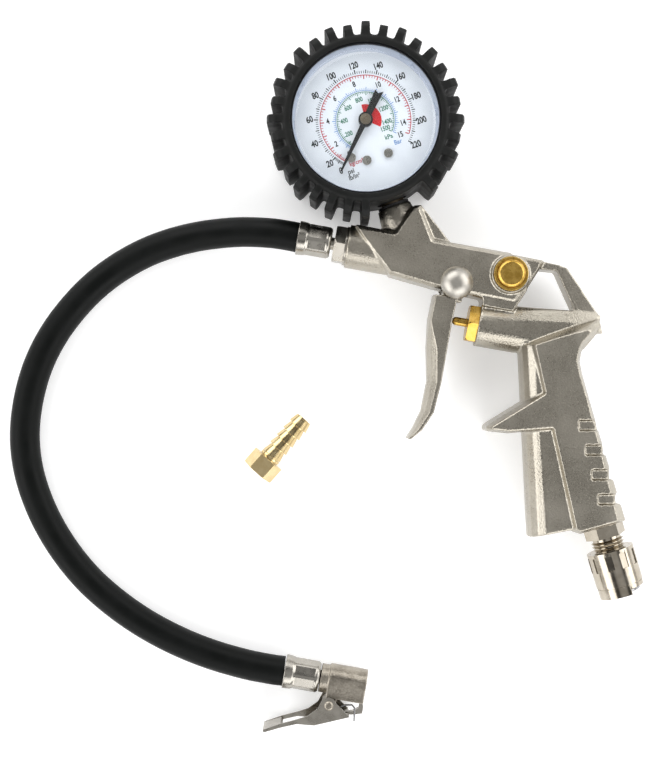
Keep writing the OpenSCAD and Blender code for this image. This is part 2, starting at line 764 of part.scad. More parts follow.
// jaw under the body, with a tooth that rises through the mouth's slot and grips the valve's thread
module lever_jaw() {
    linear_extrude(height = 3.2, center = true)
        polygon([
            [-13.4, -12.6], [-10.7, -12.4], [-6.5, -11.2], [-6.4, -8.6], [-7.2, -6.2], [-8.4, -6.2],
            [-8.2, -9.2], [-10.3, -10.9], [-13.4, -11.7]
        ]);
}

module chuck_pin() {
    half = lever_out;
    placed() color([0.62, 0.62, 0.63]) at_chuck() translate([pivot_x, pivot_dy, 0]) union() {
        along_z(-half - 0.1, half + 0.1, pin_d);
        for (side = [0, 1]) mirror([0, 0, side]) translate([0, 0, half + 0.05])
            cylinder(h = 0.5, d1 = pin_d + 1.4, d2 = pin_d);
    }
}

// torsion spring of one turn round the pin, with a leg back to the lever and one hanging free
module chuck_spring() {
    wire = 0.7;
    turn_r = pin_d / 2 + 0.95;
    steps = 16;
    low = ear_half + 0.12 + wire / 2;
    high = lever_in - 0.12 - wire / 2;
    turn = [for (i = [0 : steps]) let (a = -90 - 360 * i / steps)
        [turn_r * cos(a), turn_r * sin(a), low + (high - low) * i / steps]];
    // the free leg runs under the body and hangs down beside the jaw
    leg = [for (p = [[-9.3, -14], [-9.7, -11], [-10.1, -8.6], [-11.2, -7.7], [-14, -8.2], [-17.6, -10.6]])
        [p[0] - pivot_x, p[1] - pivot_dy, low]];
    line = concat(leg, turn, [[-4.6, -turn_r, high]]);
    placed() color([0.60, 0.60, 0.62]) at_chuck() translate([pivot_x, pivot_dy, 0])
        swept_bar(line, [0, 1, 0], [-1, 0, 0], wire / 2, 6);
}

// ---- Gauge ----

case_back = -12;
case_top = 17.2;
bezel_top = 18.9;
lens_t = 1.2;
dial_t = 0.6;
dial_seat_z = dial_z - dial_t;
zero_angle = -105.4;
lug_start = 100;
stem_angle = -60;
gauge_stem_d = 9.4;
// outer end of the socket's collar, clear of the case's round wall
collar_r = case_r - case_wall - 0.9;
hub_bore = 1.6;
tube_r = case_r - 8;
seat_r = tube_r - 4.9;
screw_r = seat_r - 2.1;
screw_angles = [-100.7, -77.9, -45.1];
screw_d = 2;
frame_top = 9.8;
frame_low = 3.2;
plate_t = 1.2;
pillar_angles = [20, 105, 190];
pillar_r = seat_r - 3.6;
pinion_d = 2.7;
sector_r = seat_r - 7.6;
sector_dir = 250;
sector_dist = sector_r + pinion_d / 2 + 0.1;
sector_swing = pointer_sweep * pinion_d / 2 / sector_r;
tube_sweep = 255;

module at_gauge() {
    translate([hub_x, hub_y, 0]) children();
}

// stem line: on the boss's axis, measured from the hub outwards
module stem_bore(d, from_r, to_r) {
    at_gauge() rotate([0, 0, stem_angle]) along_x(from_r, to_r, d);
}

// the boot's lug: chamfered block that stands on the band
module boot_lug(reach) {
    low = -mid_height;
    inner = boot_d / 2 - 0.8;
    rotate([90, 0, 0]) linear_extrude(height = lug_w, center = true)
        polygon([
            [inner, low], [reach - 1.8, low], [reach, low + 2.4], [reach, boot_top - 5.5],
            [reach - 0.8, boot_top - 2.6], [reach - 3.0, boot_top - 0.8], [inner, boot_top - 0.5]
        ]);
}

module gauge_boot() {
    step = 360 / lug_count;
    placed() color([0.09, 0.09, 0.09]) difference() {
        at_gauge() union() {
            difference() {
                union() {
                    along_z(-mid_height, boot_top - 1.6, boot_d);
                    translate([0, 0, boot_top - 1.6]) cylinder(h = 1.6, d1 = boot_d, d2 = boot_d - 2.4);
                }
                along_z(case_back - 0.05, bezel_top + 0.05, case_d + 0.1);
                along_z(-mid_height - 1, case_back, case_d - 21);
                along_z(bezel_top, boot_top + 1, window_d + 1.4);
            }
            for (i = [0 : lug_count - 1]) {
                a = lug_start + i * step;
                off = abs((a - stem_angle + 540) % 360 - 180);
                if (off > 14) rotate([0, 0, a]) boot_lug(boot_d / 2 + lug_h - (i % 2));
            }
        }
        stem_bore(gauge_stem_d + 2.4, 25, 42);
    }
}

module gauge_case() {
    placed() color([0.12, 0.12, 0.13]) difference() {
        at_gauge() difference() {
            along_z(case_back, case_top, case_d);
            along_z(case_back + case_wall, case_top + 1, case_d - 2 * case_wall);
        }
        stem_bore(gauge_stem_d + 2 * run_gap, 20, 40);
    }
}

module gauge_bezel() {
    placed() color([0.15, 0.15, 0.16])
        at_gauge() ring_z(case_top, bezel_top, case_d, window_d);
}

module gauge_lens() {
    placed() color([0.85, 0.92, 0.95, 0.3])
        at_gauge() along_z(case_top - lens_t, case_top - 0.02, case_d - 2 * case_wall - 0.2);
}

// spacer ring between the dial and the window, opening towards the window
module lens_gasket() {
    spacer_top = case_top - lens_t - 0.02;
    outer = case_d - 2 * case_wall - 0.2;
    placed() color([0.88, 0.88, 0.86])
        at_gauge() difference() {
            along_z(dial_z + 0.02, spacer_top, outer);
            translate([0, 0, dial_z])
                cylinder(h = spacer_top - dial_z + 0.01, d1 = outer - 5.6, d2 = outer - 1.4);
        }
}

module gauge_dial() {
    placed() color([0.95, 0.95, 0.93]) at_gauge() difference() {
        along_z(dial_seat_z, dial_z, case_d - 2 * case_wall - 0.2);
        along_z(0, dial_z + 1, 2 * hub_bore + 1);
        dial_screw_holes();
    }
}

module dial_screw_holes() {
    for (a = screw_angles) rotate([0, 0, a]) translate([screw_r, 0, 0])
        along_z(frame_top - 0.5, dial_z + 1, screw_d + 2 * run_gap);
}

// three slotted screws that hold the dial
module dial_screws() {
    placed() color([0.75, 0.75, 0.76]) at_gauge()
        for (a = screw_angles) rotate([0, 0, a]) translate([screw_r, 0, 0]) difference() {
            union() {
                along_z(frame_top, dial_z + 0.1, screw_d);
                along_z(dial_z, dial_z + 0.9, 3.5);
            }
            translate([-2, -0.25, dial_z + 0.5]) cube([4, 0.5, 1]);
        }
}

// threaded stem with its hexagon, and the block inside the case that carries tube and movement
module gauge_socket() {
    placed() color([0.76, 0.60, 0.28]) difference() {
        union() {
            on_boss() along_z(boss_len - socket_depth + 0.5, boss_len + 0.1, socket_thread_d);
            on_boss() along_z(boss_len, hub_up - collar_r + 1, gauge_stem_d);
            stem_bore(socket_thread_d + 2.8, seat_r + 1, collar_r);
            at_gauge() rotate([0, 0, stem_angle]) translate([6, -5, frame_low - plate_t - 7])
                cube([seat_r + 4, 10, 7]);
        }
        on_boss() along_z(0, hub_up - seat_r - 4, 3);
        at_gauge() rotate([0, 0, stem_angle + 3]) tube_ring_solid(20, 0.05);
    }
}

module stem_seal() {
    placed() color([0.12, 0.12, 0.12])
        on_boss() ring_z(boss_len + 0.02, boss_len + 1, 12.6, socket_thread_d + 0.2);
}

// flattened tube swept round the hub, from the socket block
module tube_ring_solid(sweep, grow) {
    h = 3 + grow;
    rotate_extrude(angle = sweep) translate([tube_r - 1.5 - grow, -h]) square([3 + 2 * grow, 2 * h]);
}

module bourdon_tube() {
    placed() color([0.80, 0.60, 0.30])
        at_gauge() rotate([0, 0, stem_angle + 4]) difference() {
            rotate_extrude(angle = tube_sweep) translate([tube_r - 1.5, -3]) square([3, 6]);
            rotate([0, 0, 0.01]) rotate_extrude(angle = tube_sweep - 3)
                translate([tube_r - 0.9, -2.4]) square([1.8, 4.8]);
        }
}

// cap on the free end of the tube, with the link's eye
module bourdon_tip() {
    end = stem_angle + 4 + tube_sweep;
    placed() color([0.76, 0.60, 0.28]) at_gauge() rotate([0, 0, end + 0.05]) difference() {
        translate([tube_r - 2, 0, -3.4]) cube([4, 3.4, 10]);
        translate([tube_r, 1.7, 4]) along_z(-1, 4, 1);
    }
}

// two brass plates on pillars; the upper one carries the dial
module movement_frame() {
    placed() color([0.80, 0.64, 0.30]) at_gauge() difference() {
        union() {
            along_z(frame_top, dial_seat_z - 0.02, 2 * seat_r);
            along_z(frame_low - plate_t, frame_low, 2 * seat_r);
            for (a = pillar_angles) rotate([0, 0, a]) translate([pillar_r, 0, 0])
                along_z(frame_low - 0.1, frame_top + 0.1, 4);
        }
        along_z(0, dial_z, 2 * hub_bore + 2 * run_gap);
        rotate([0, 0, sector_dir]) translate([sector_dist, 0, 0])
            along_z(0, frame_top + 0.8, 1.8 + 2 * run_gap);
        dial_screw_holes();
    }
}

module pinion_arbor() {
    teeth = 10;
    placed() color([0.72, 0.70, 0.60]) at_gauge() difference() {
        union() {
            along_z(frame_low - plate_t + 0.1, dial_z + 2.6, 2 * hub_bore - 0.8);
            along_z(frame_top, dial_z + 0.4, 2 * hub_bore);
            along_z(4.6, 6.8, pinion_d);
        }
        for (k = [0 : teeth - 1]) rotate([0, 0, 360 * k / teeth]) translate([pinion_d / 2, 0, 4])
            cylinder(h = 4, d = 0.4, $fn = 4);
    }
}

// toothed sector that turns the pinion, with its own arbor and a tail for the link
module sector_gear() {
    teeth = 20;
    placed() color([0.78, 0.62, 0.30]) at_gauge() rotate([0, 0, sector_dir])
        translate([sector_dist, 0, 0]) difference() {
            union() {
                along_z(frame_low - plate_t + 0.1, frame_top + 0.6, 1.8);
                intersection() {
                    along_z(5, 6.2, 2 * sector_r);
                    linear_extrude(height = 8) polygon([
                        [1, 2], [1, -2], [-14, -4], [-20, 4],
                        15 * [cos(170 - sector_swing), sin(170 - sector_swing)]
                    ]);
                }
                translate([-1.5, -1.3, 5]) cube([6.8, 2.6, 1.2]);
                along_z(4.4, 7, 4);
            }
            for (k = [0 : teeth - 1]) rotate([0, 0, 180 - 45 + 62 * k / teeth])
                translate([sector_r, 0, 4]) cylinder(h = 4, d = 0.45, $fn = 4);
            translate([4.4, 0, 0]) along_z(4, 8, 1);
        }
}

// flat spiral round the pinion's arbor
module hairspring() {
    turns = 4;
    n = turns * 16;
    r0 = pinion_d / 2 + 0.15;
    grow = 3.4;
    t = 0.12;
    line = [for (i = [0 : n]) let (a = 360 * turns * i / n, r = r0 + grow * i / n) [r * cos(a), r * sin(a)]];
    back = [
        for (i = [n : -1 : 0]) let (a = 360 * turns * i / n, r = r0 + t + grow * i / n)
            [r * cos(a), r * sin(a)]
    ];
    placed() color([0.55, 0.56, 0.60]) at_gauge() translate([0, 0, 7.3])
        linear_extrude(height = 0.6) polygon(concat(line, back));
}

// link between the tube's tip and the sector's tail
module link_bar() {
    end = stem_angle + 4 + tube_sweep;
    tip = [tube_r * cos(end) - 1.7 * sin(end), tube_r * sin(end) + 1.7 * cos(end)];
    tail = [(sector_dist + 4.4) * cos(sector_dir), (sector_dist + 4.4) * sin(sector_dir)];
    run = tail - tip;
    placed() color([0.72, 0.70, 0.60]) at_gauge() translate([tip[0], tip[1], 6.65])
        rotate([0, 0, atan2(run[1], run[0])]) union() {
            translate([0, -0.8, 0]) cube([norm(run), 1.6, 0.7]);
            along_z(-2.4, 0.6, 0.9);
            along_z(0, 0.7, 2.4);
        }
}

module pointer() {
    placed() color([0.06, 0.06, 0.06]) at_gauge() rotate([0, 0, zero_angle]) difference() {
        union() {
            translate([0, 0, dial_z + 1.3]) linear_extrude(height = 0.5)
                polygon([
                    [0, 1.15], [pointer_reach, 0.35], [pointer_reach, -0.35], [0, -1.15],
                    [-12.2, -1.65], [-11.4, 0], [-12.8, 1.65]
                ]);
            along_z(dial_z + 0.6, dial_z + 3.2, 5.6);
        }
        along_z(0, dial_z + 2.65, 2 * hub_bore - 0.8 + 0.04);
    }
}

// ---- Inlet and quick coupler ----

hex_len = 5;
neck_z = 10.4;
spigot_end = 14.4;
spigot_d = 9.6;
body_front_d = 13.2;
body_wide_d = body_front_d + 2.8;
body_step_z = 13.2;
body_end = 28.2;
sleeve_z0 = 10.4;
sleeve_step_z = body_step_z + sleeve_travel + 3.8;
sleeve_shoulder_z = sleeve_z0 + sleeve_len;
sleeve_end = 28.8;
clip_z = 27.05;
mouth_z = 18.5;
// smooth part of the mouth that a plug enters, and the narrower bore behind it
mouth_len = 5.1;
seat_bore_d = mouth_d - 0.5;
ball_z = 21.6;
ball_d = 2.4;
ball_count = 4;
ball_r = body_front_d / 2 - ball_d / 2 - 0.04;
grip_count = 10;

module inlet_nipple() {
    placed() color([0.80, 0.79, 0.77]) on_inlet() difference() {
        union() {
            along_z(0.5 - inlet_thread_depth, 0.1, inlet_thread_d);
            rotate([0, 0, 30]) hex_z(0.5, hex_len, inlet_af);
            along_z(0.02, 0.6, inlet_af - 0.4);
            along_z(hex_len - 0.1, neck_z - 0.05, inlet_thread_d - 1.8);
            for (i = [0 : 2]) translate([0, 0, hex_len + 1.2 + 1.35 * i]) thread_ridge();
            along_z(neck_z - 0.2, spigot_end, spigot_d);
        }
        along_z(-inlet_thread_depth, spigot_end + 1, passage_d + 1.4);
    }
}

// one turn of thread, as a double cone round the neck
module thread_ridge() {
    core = inlet_thread_d - 2;
    cylinder(h = 0.65, d1 = core, d2 = inlet_thread_d);
    translate([0, 0, 0.64]) cylinder(h = 0.65, d1 = inlet_thread_d, d2 = core);
}

module inlet_seal() {
    placed() color([0.10, 0.10, 0.10])
        on_inlet() ring_z(spigot_end + 0.02, spigot_end + 0.5, spigot_d - 0.1, 7);
}

module coupler_body() {
    placed() color([0.80, 0.79, 0.77]) on_inlet() difference() {
        union() {
            along_z(neck_z, body_step_z, body_wide_d);
            along_z(body_step_z - 0.1, body_end, body_front_d);
        }
        along_z(neck_z - 1, spigot_end + 0.55, spigot_d + 2 * run_gap);
        along_z(spigot_end, mouth_z + 1, 9);
        along_z(mouth_z, body_end, seat_bore_d);
        along_z(body_end - mouth_len, body_end + 1, mouth_d);
        for (k = [0 : ball_count - 1]) rotate([0, 0, 45 + 360 * k / ball_count])
            translate([0, 0, ball_z]) rotate([0, 90, 0]) cylinder(h = 12, d = ball_d + 0.1);
        ring_z(clip_z + 0.05, clip_z + 0.85, body_front_d + 2, body_front_d - 1);
    }
}

module coupler_sleeve() {
    placed() color([0.81, 0.80, 0.78]) on_inlet() difference() {
        union() {
            along_z(sleeve_z0, sleeve_shoulder_z, sleeve_d);
            along_z(sleeve_shoulder_z - 0.1, sleeve_end, sleeve_d - 0.5);
        }
        along_z(sleeve_z0 - 1, sleeve_step_z, body_wide_d + 2 * run_gap);
        along_z(sleeve_step_z - 1, sleeve_end, body_front_d + 2 * run_gap);
        along_z(clip_z - 0.05, sleeve_end + 1, body_front_d + 2);
        translate([-20, 2.4, sleeve_end - 2.3]) cube([40, 20, 5]);
        for (k = [0 : grip_count - 1]) rotate([0, 0, 360 * (k + 0.5) / grip_count])
            translate([sleeve_d / 2 - 0.5, -1.4, sleeve_z0 + 1.4]) cube([2, 2.8, 6]);
        ring_z(sleeve_shoulder_z - 0.3, sleeve_shoulder_z + 0.2, sleeve_d + 4, sleeve_d - 1.2);
    }
}

module coupler_spring() {
    placed() color([0.70, 0.70, 0.72]) on_inlet()
        coil_spring(body_step_z + 0.05, sleeve_step_z - 0.05, body_wide_d - 0.1, 1, 3, 16);
}

module coupler_balls() {
    placed() color([0.85, 0.85, 0.86]) on_inlet()
        for (k = [0 : ball_count - 1]) rotate([0, 0, 45 + 360 * k / ball_count])
            translate([ball_r, 0, ball_z]) sphere(d = ball_d);
}

// snap ring that stops the sleeve
module coupler_clip() {
    placed() color([0.60, 0.60, 0.62]) on_inlet() difference() {
        ring_z(clip_z + 0.07, clip_z + 0.83, body_front_d + 1.6, body_front_d - 0.96);
        translate([0, -1.2, 20]) cube([20, 2.4, 20]);
    }
}

module coupler_valve() {
    placed() color([0.80, 0.62, 0.25]) on_inlet() union() {
        along_z(mouth_z - 1.4, mouth_z - 0.05, 8.4);
        along_z(mouth_z - 0.2, mouth_z + 1.9, 4);
        along_z(spigot_end + 1.4, mouth_z - 1.3, 4);
    }
}

module coupler_valve_spring() {
    placed() color([0.70, 0.70, 0.72]) on_inlet()
        coil_spring(spigot_end + 0.55, mouth_z - 1.45, 6.4, 0.6, 3);
}

module coupler_seal() {
    placed() color([0.10, 0.10, 0.10])
        on_inlet() ring_z(mouth_z + 0.02, mouth_z + 1.5, seat_bore_d - 0.1, 6.4);
}

// ---- Loose brass hose tail ----

tail_x = -65.2;
tail_y = -88.2;
tail_angle = 58.4;
tail_nut_len = 7.2;
tail_bore = 4.6;
tail_core_d = 6.8;
barb_pitch = (tail_len - 9.6) / tail_barbs;

module on_tail() {
    translate([tail_x, tail_y, tail_nut_af / 2 - mid_height]) rotate([0, 0, tail_angle])
        rotate([0, 90, 0]) children();
}

module hose_tail() {
    placed() color([0.83, 0.66, 0.32]) on_tail() difference() {
        union() {
            along_z(3.4, 4.7, 9);
            along_z(4.6, tail_len - 0.6, tail_core_d);
            translate([0, 0, tail_nut_len + 0.3]) cylinder(h = 1.2, d1 = tail_barb_d, d2 = tail_barb_d);
            for (i = [0 : tail_barbs - 1]) translate([0, 0, 9 + barb_pitch * i])
                cylinder(h = barb_pitch - 0.5, d1 = tail_barb_d, d2 = tail_core_d + 0.2);
        }
        along_z(0, tail_len + 1, tail_bore);
    }
}

module tail_nut() {
    placed() color([0.80, 0.63, 0.30]) on_tail() difference() {
        intersection() {
            rotate([0, 0, 30]) hex_z(0, tail_nut_len, tail_nut_af);
            cylinder(h = tail_nut_len, d1 = tail_nut_af + 1.4, d2 = tail_nut_af + 6);
        }
        along_z(-1, 4.75, 9 + 2 * run_gap);
        along_z(4, tail_nut_len + 1, tail_core_d + 2 * run_gap);
    }
}

module tail_washer() {
    placed() color([0.08, 0.08, 0.08]) on_tail() ring_z(2.0, 3.35, 9, tail_bore + 0.6);
}

gun_body();
trigger();
trigger_rivet();
rivet_washer();
valve_nut();
valve_seal();
valve_stem();
valve_spring();
bleed_guide();
bleed_button();
bleed_spring();
bleed_seal();
hose_fitting();
hose_end_gun();
hose_ferrule();
hose();
hose_end_chuck();
chuck_ferrule();
chuck_body();
chuck_seal();
chuck_depressor();
chuck_lever();
chuck_pin();
chuck_spring();
gauge_boot();
gauge_case();
gauge_bezel();
gauge_lens();
lens_gasket();
gauge_dial();
dial_screws();
gauge_socket();
stem_seal();
bourdon_tube();
bourdon_tip();
movement_frame();
sector_gear();
pinion_arbor();
hairspring();
link_bar();
pointer();
inlet_nipple();
inlet_seal();
coupler_body();
coupler_sleeve();
coupler_spring();
coupler_balls();
coupler_clip();
coupler_valve();
coupler_valve_spring();
coupler_seal();
hose_tail();
tail_nut();
tail_washer();
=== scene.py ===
import math

import bpy
from mathutils import Matrix, Vector


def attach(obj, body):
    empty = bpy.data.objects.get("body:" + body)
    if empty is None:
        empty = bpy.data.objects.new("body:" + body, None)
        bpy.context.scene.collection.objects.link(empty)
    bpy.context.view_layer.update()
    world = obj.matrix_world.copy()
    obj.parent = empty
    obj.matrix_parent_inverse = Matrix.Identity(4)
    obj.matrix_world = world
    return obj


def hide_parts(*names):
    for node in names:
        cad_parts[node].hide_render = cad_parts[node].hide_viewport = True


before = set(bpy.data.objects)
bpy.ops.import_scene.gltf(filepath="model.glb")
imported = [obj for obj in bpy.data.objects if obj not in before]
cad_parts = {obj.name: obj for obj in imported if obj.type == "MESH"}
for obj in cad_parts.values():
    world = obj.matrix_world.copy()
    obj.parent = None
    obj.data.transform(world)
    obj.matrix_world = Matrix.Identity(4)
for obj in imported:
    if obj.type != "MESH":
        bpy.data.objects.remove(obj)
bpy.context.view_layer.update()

mm = 0.001
scene = bpy.context.scene
gunOrigin = (-5.0, 9.9, 14.0)  # the trigger's pivot, at the middle of the gun's thickness


def atGun(x, y, z=0.0):  # millimetres from the trigger's pivot to metres in the shared frame
    return Vector(((x + gunOrigin[0]) * mm, (y + gunOrigin[1]) * mm, (z + gunOrigin[2]) * mm))


# ---- camera, square above the table and turned a little about its own line of sight

camera = {
    "place": (-0.04684, -0.03798, 0.584),
    "turn": 10.0,
    "lens": 66.8,
    "sensor": 36.0,
}
bpy.ops.object.camera_add(
    location=camera["place"], rotation=(0, 0, math.radians(camera["turn"]))
)
shotCamera = bpy.context.object
shotCamera.data.lens = camera["lens"]
shotCamera.data.sensor_width = camera["sensor"]
shotCamera.data.clip_start = 0.01
scene.camera = shotCamera
print("stage: camera")


# ---- small helpers


weldGap = 0.004  # corners nearer than this, in millimetres, are one corner


def deselectAll():
    if bpy.context.object and bpy.context.object.mode != "OBJECT":
        bpy.ops.object.mode_set(mode="OBJECT")
    bpy.ops.object.select_all(action="DESELECT")


def pick(*things):
    deselectAll()
    for thing in things:
        thing.select_set(True)
    bpy.context.view_layer.objects.active = things[0]


def joinAll(things, name):
    pick(*things)
    if len(things) > 1:
        bpy.ops.object.join()
    joined = bpy.context.object
    joined.name = name
    joined.data.name = name
    return joined


def settle(thing):  # puts the object's place, turn and size into its mesh
    pick(thing)
    bpy.ops.object.transform_apply(location=True, rotation=True, scale=True)
    return thing


def modify(thing, kind, **settings):
    pick(thing)
    modifier = thing.modifiers.new(kind.lower(), kind)
    for key, value in settings.items():
        setattr(modifier, key, value)
    bpy.ops.object.modifier_apply(modifier=modifier.name)
    return thing


def smoothBy(thing, degrees):
    pick(thing)
    bpy.ops.object.shade_smooth_by_angle(angle=math.radians(degrees))
    return thing


def faceOutwards(thing):
    pick(thing)
    bpy.ops.object.mode_set(mode="EDIT")
    bpy.ops.mesh.select_all(action="SELECT")
    bpy.ops.mesh.remove_doubles(threshold=weldGap * mm)
    bpy.ops.mesh.normals_make_consistent(inside=False)
    bpy.ops.object.mode_set(mode="OBJECT")
    return thing


def finishPiece(thing, material, body, replaced=()):
    settle(thing)
    thing.data.materials.clear()
    thing.data.materials.append(material)
    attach(thing, body)
    if replaced:
        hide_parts(*replaced)
    return thing


def solidCopy(node, name, flat=1.5):
    # a CAD node's triangles, welded and with its flat faces made whole again
    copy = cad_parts[node].copy()
    copy.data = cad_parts[node].data.copy()
    copy.parent = None
    for key in [k for k in copy.keys() if k.startswith("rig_")]:
        del copy[key]
    copy.name = name
    copy.data.name = name
    scene.collection.objects.link(copy)
    copy.hide_render = False
    copy.hide_viewport = False
    copy.matrix_world = Matrix.Identity(4)
    pick(copy)
    bpy.ops.object.mode_set(mode="EDIT")
    bpy.ops.mesh.select_all(action="SELECT")
    bpy.ops.mesh.remove_doubles(threshold=weldGap * mm)
    bpy.ops.mesh.dissolve_limited(angle_limit=math.radians(flat))
    bpy.ops.object.mode_set(mode="OBJECT")
    return copy


def castForm(thing, voxel, rounds, flat=1.0):
    # one skin with every edge and inner corner rounded, as a casting or moulding has
    modify(thing, "REMESH", mode="VOXEL", voxel_size=voxel * mm, use_smooth_shade=True)
    if rounds:
        modify(thing, "SMOOTH", factor=0.5, iterations=rounds)
    modify(thing, "DECIMATE", decimate_type="DISSOLVE", angle_limit=math.radians(flat))
    modify(thing, "TRIANGULATE", quad_method="BEAUTY", ngon_method="BEAUTY")
    modify(thing, "WEIGHTED_NORMAL", mode="FACE_AREA", keep_sharp=False)
    return thing


# ---- materials


def hexColour(code):  # sRGB hex to the linear colour that the shader takes
    channels = [int(code[i : i + 2], 16) / 255 for i in (1, 3, 5)]
    linear = [c / 12.92 if c <= 0.04045 else ((c + 0.055) / 1.055) ** 2.4 for c in channels]
    return (*linear, 1.0)


def addNode(tree, kind, values=None, links=None, **settings):
    node = tree.nodes.new(kind)
    for key, value in settings.items():
        setattr(node, key, value)
    for socket, value in (values or {}).items():
        node.inputs[socket].default_value = value
    for socket, source in (links or {}).items():
        tree.links.new(source, node.inputs[socket])
    return node


noiseRange = (0.35, 0.65)  # where most values of a noise texture lie


def surface(name, look):
    # broad patches and fine grain shift the colour and the gloss, and the grain lifts the surface
    material = bpy.data.materials.new(name)
    material.use_nodes = True
    tree = material.node_tree
    shader = tree.nodes["Principled BSDF"]
    shader.inputs["Metallic"].default_value = look.get("metallic", 0.0)
    for socket, value in look.get("sockets", {}).items():
        shader.inputs[socket].default_value = value
    where = addNode(tree, "ShaderNodeTexCoord")
    placed = addNode(
        tree, "ShaderNodeMapping",
        {"Scale": look.get("stretch", (1, 1, 1)), "Rotation": (0, 0, math.radians(look.get("turn", 0)))},
        {"Vector": where.outputs["Object"]},
    )
    patches = addNode(
        tree, "ShaderNodeTexNoise", {"Scale": 1 / (look["patch"] * mm), "Detail": 3.0},
        {"Vector": where.outputs["Object"]},
    )
    grain = addNode(
        tree, "ShaderNodeTexNoise", {"Scale": 1 / (look["grain"] * mm), "Detail": 2.5},
        {"Vector": placed.outputs["Vector"]},
    )
    spread = addNode(
        tree, "ShaderNodeMapRange", {"From Min": noiseRange[0], "From Max": noiseRange[1]},
        {"Value": patches.outputs["Fac"]},
    )
    fine = look.get("fine", 0.5)  # how much the grain counts beside the patches
    blend = addNode(
        tree, "ShaderNodeMath", {1: fine},
        {0: grain.outputs["Fac"], 2: spread.outputs["Result"]}, operation="MULTIPLY_ADD",
    )
    shade = addNode(
        tree, "ShaderNodeMapRange", {"From Min": noiseRange[0] * fine, "From Max": 1 + noiseRange[1] * fine},
        {"Value": blend.outputs["Value"]},
    )
    tint = addNode(tree, "ShaderNodeMix", {}, {"Factor": shade.outputs["Result"]}, data_type="RGBA")
    tint.inputs[6].default_value = hexColour(look["colours"][0])
    tint.inputs[7].default_value = hexColour(look["colours"][1])
    gloss = addNode(
        tree, "ShaderNodeMapRange", {"To Min": look["rough"][0], "To Max": look["rough"][1]},
        {"Value": shade.outputs["Result"]},
    )
    bump = addNode(
        tree, "ShaderNodeBump", {"Strength": look.get("lift", 0.5), "Distance": look["height"] * mm},
        {"Height": grain.outputs["Fac"]},
    )
    tree.links.new(tint.outputs[2], shader.inputs["Base Color"])
    tree.links.new(gloss.outputs["Result"], shader.inputs["Roughness"])
    tree.links.new(bump.outputs["Normal"], shader.inputs["Normal"])
    return material


# zinc die casting with a satin nickel plate: olive grey, with the sparkle of the die's skin,
# whose grain is drawn coarser than it is so that it shows
platedCasting = surface("platedCasting", {
    "colours": ("#9c968a", "#b7b1a5"), "metallic": 1.0, "rough": (0.24, 0.36),
    "patch": 16.0, "grain": 0.65, "height": 0.14, "lift": 1.0, "fine": 2.4,
})
# the same plate on the chuck: browner and duller, its grain too drawn coarser than it is
chuckCasting = surface("chuckCasting", {
    "colours": ("#857e73", "#aca599"), "metallic": 1.0, "rough": (0.28, 0.42),
    "patch": 5.0, "grain": 0.75, "height": 0.14, "lift": 1.0, "fine": 2.0,
})
# the same plate on a pressed steel part, so smoother and a shade brighter
platedSteel = surface("platedSteel", {
    "colours": ("#a39e94", "#b3aea5"), "metallic": 1.0, "rough": (0.22, 0.34),
    "patch": 5.0, "grain": 0.3, "height": 0.012, "lift": 0.4,
})
# tumbled steel of the rivet: satin, so its dome shades softly from side to side
tumbledSteel = surface("tumbledSteel", {
    "colours": ("#a8a49c", "#b6b2aa"), "metallic": 1.0, "rough": (0.32, 0.42),
    "patch": 6.0, "grain": 0.35, "height": 0.02, "lift": 0.4,
})
# polished chromium plate on turned brass: near mirror with a faint haze
polishedChrome = surface("polishedChrome", {
    "colours": ("#a89f90", "#bab2a4"), "metallic": 1.0, "rough": (0.10, 0.20),
    "patch": 4.0, "grain": 0.3, "height": 0.006, "lift": 0.35,
})
# zinc-plated tube, crimped, so bright with soft shading round the press tool's flats
crimpedSteel = surface("crimpedSteel", {
    "colours": ("#9f9b93", "#aaa69e"), "metallic": 1.0, "rough": (0.22, 0.31),
    "patch": 5.0, "grain": 0.35, "height": 0.008, "lift": 0.4,
})
# turned brass, left bare: olive yellow with fine tool lines and a little tarnish
turnedBrass = surface("turnedBrass", {
    "colours": ("#b28d3e", "#d0ac5c"), "metallic": 1.0, "rough": (0.20, 0.34),
    "patch": 2.2, "grain": 0.25, "height": 0.012, "lift": 0.45,
})
# pale free-cutting brass of the loose tail, fresh from the lathe
paleBrass = surface("paleBrass", {
    "colours": ("#cdb583", "#ddc99b"), "metallic": 1.0, "rough": (0.16, 0.28),
    "patch": 4.0, "grain": 0.25, "height": 0.008, "lift": 0.3,
})
# compression-moulded rubber: near black, dull, with the mould's fine grit and a grey bloom
mouldedRubber = surface("mouldedRubber", {
    "colours": ("#070807", "#0f100f"), "rough": (0.50, 0.66),
    "patch": 6.0, "grain": 0.4, "height": 0.035, "lift": 0.5,
    "sockets": {"Specular IOR Level": 0.22},
})
# extruded rubber hose: smoother than moulded rubber, deep black with a soft sheen
hoseRubber = surface("hoseRubber", {
    "colours": ("#040605", "#080a09"), "rough": (0.42, 0.54),
    "patch": 8.0, "grain": 0.5, "height": 0.014, "lift": 0.4,
    "sockets": {"Specular IOR Level": 0.13},
})
# stoved white enamel on the dial's aluminium sheet: cool white, satin
whiteEnamel = surface("whiteEnamel", {
    "colours": ("#e4e5e9", "#eaebee"), "rough": (0.34, 0.46),
    "patch": 7.0, "grain": 0.5, "height": 0.004, "lift": 0.2,
    "sockets": {"Specular IOR Level": 0.35},
})
# matt black stoving paint on a pressed pointer
blackPaint = surface("blackPaint", {
    "colours": ("#040404", "#090909"), "rough": (0.40, 0.58),
    "patch": 3.0, "grain": 0.3, "height": 0.01, "lift": 0.4,
    "sockets": {"Specular IOR Level": 0.2},
})
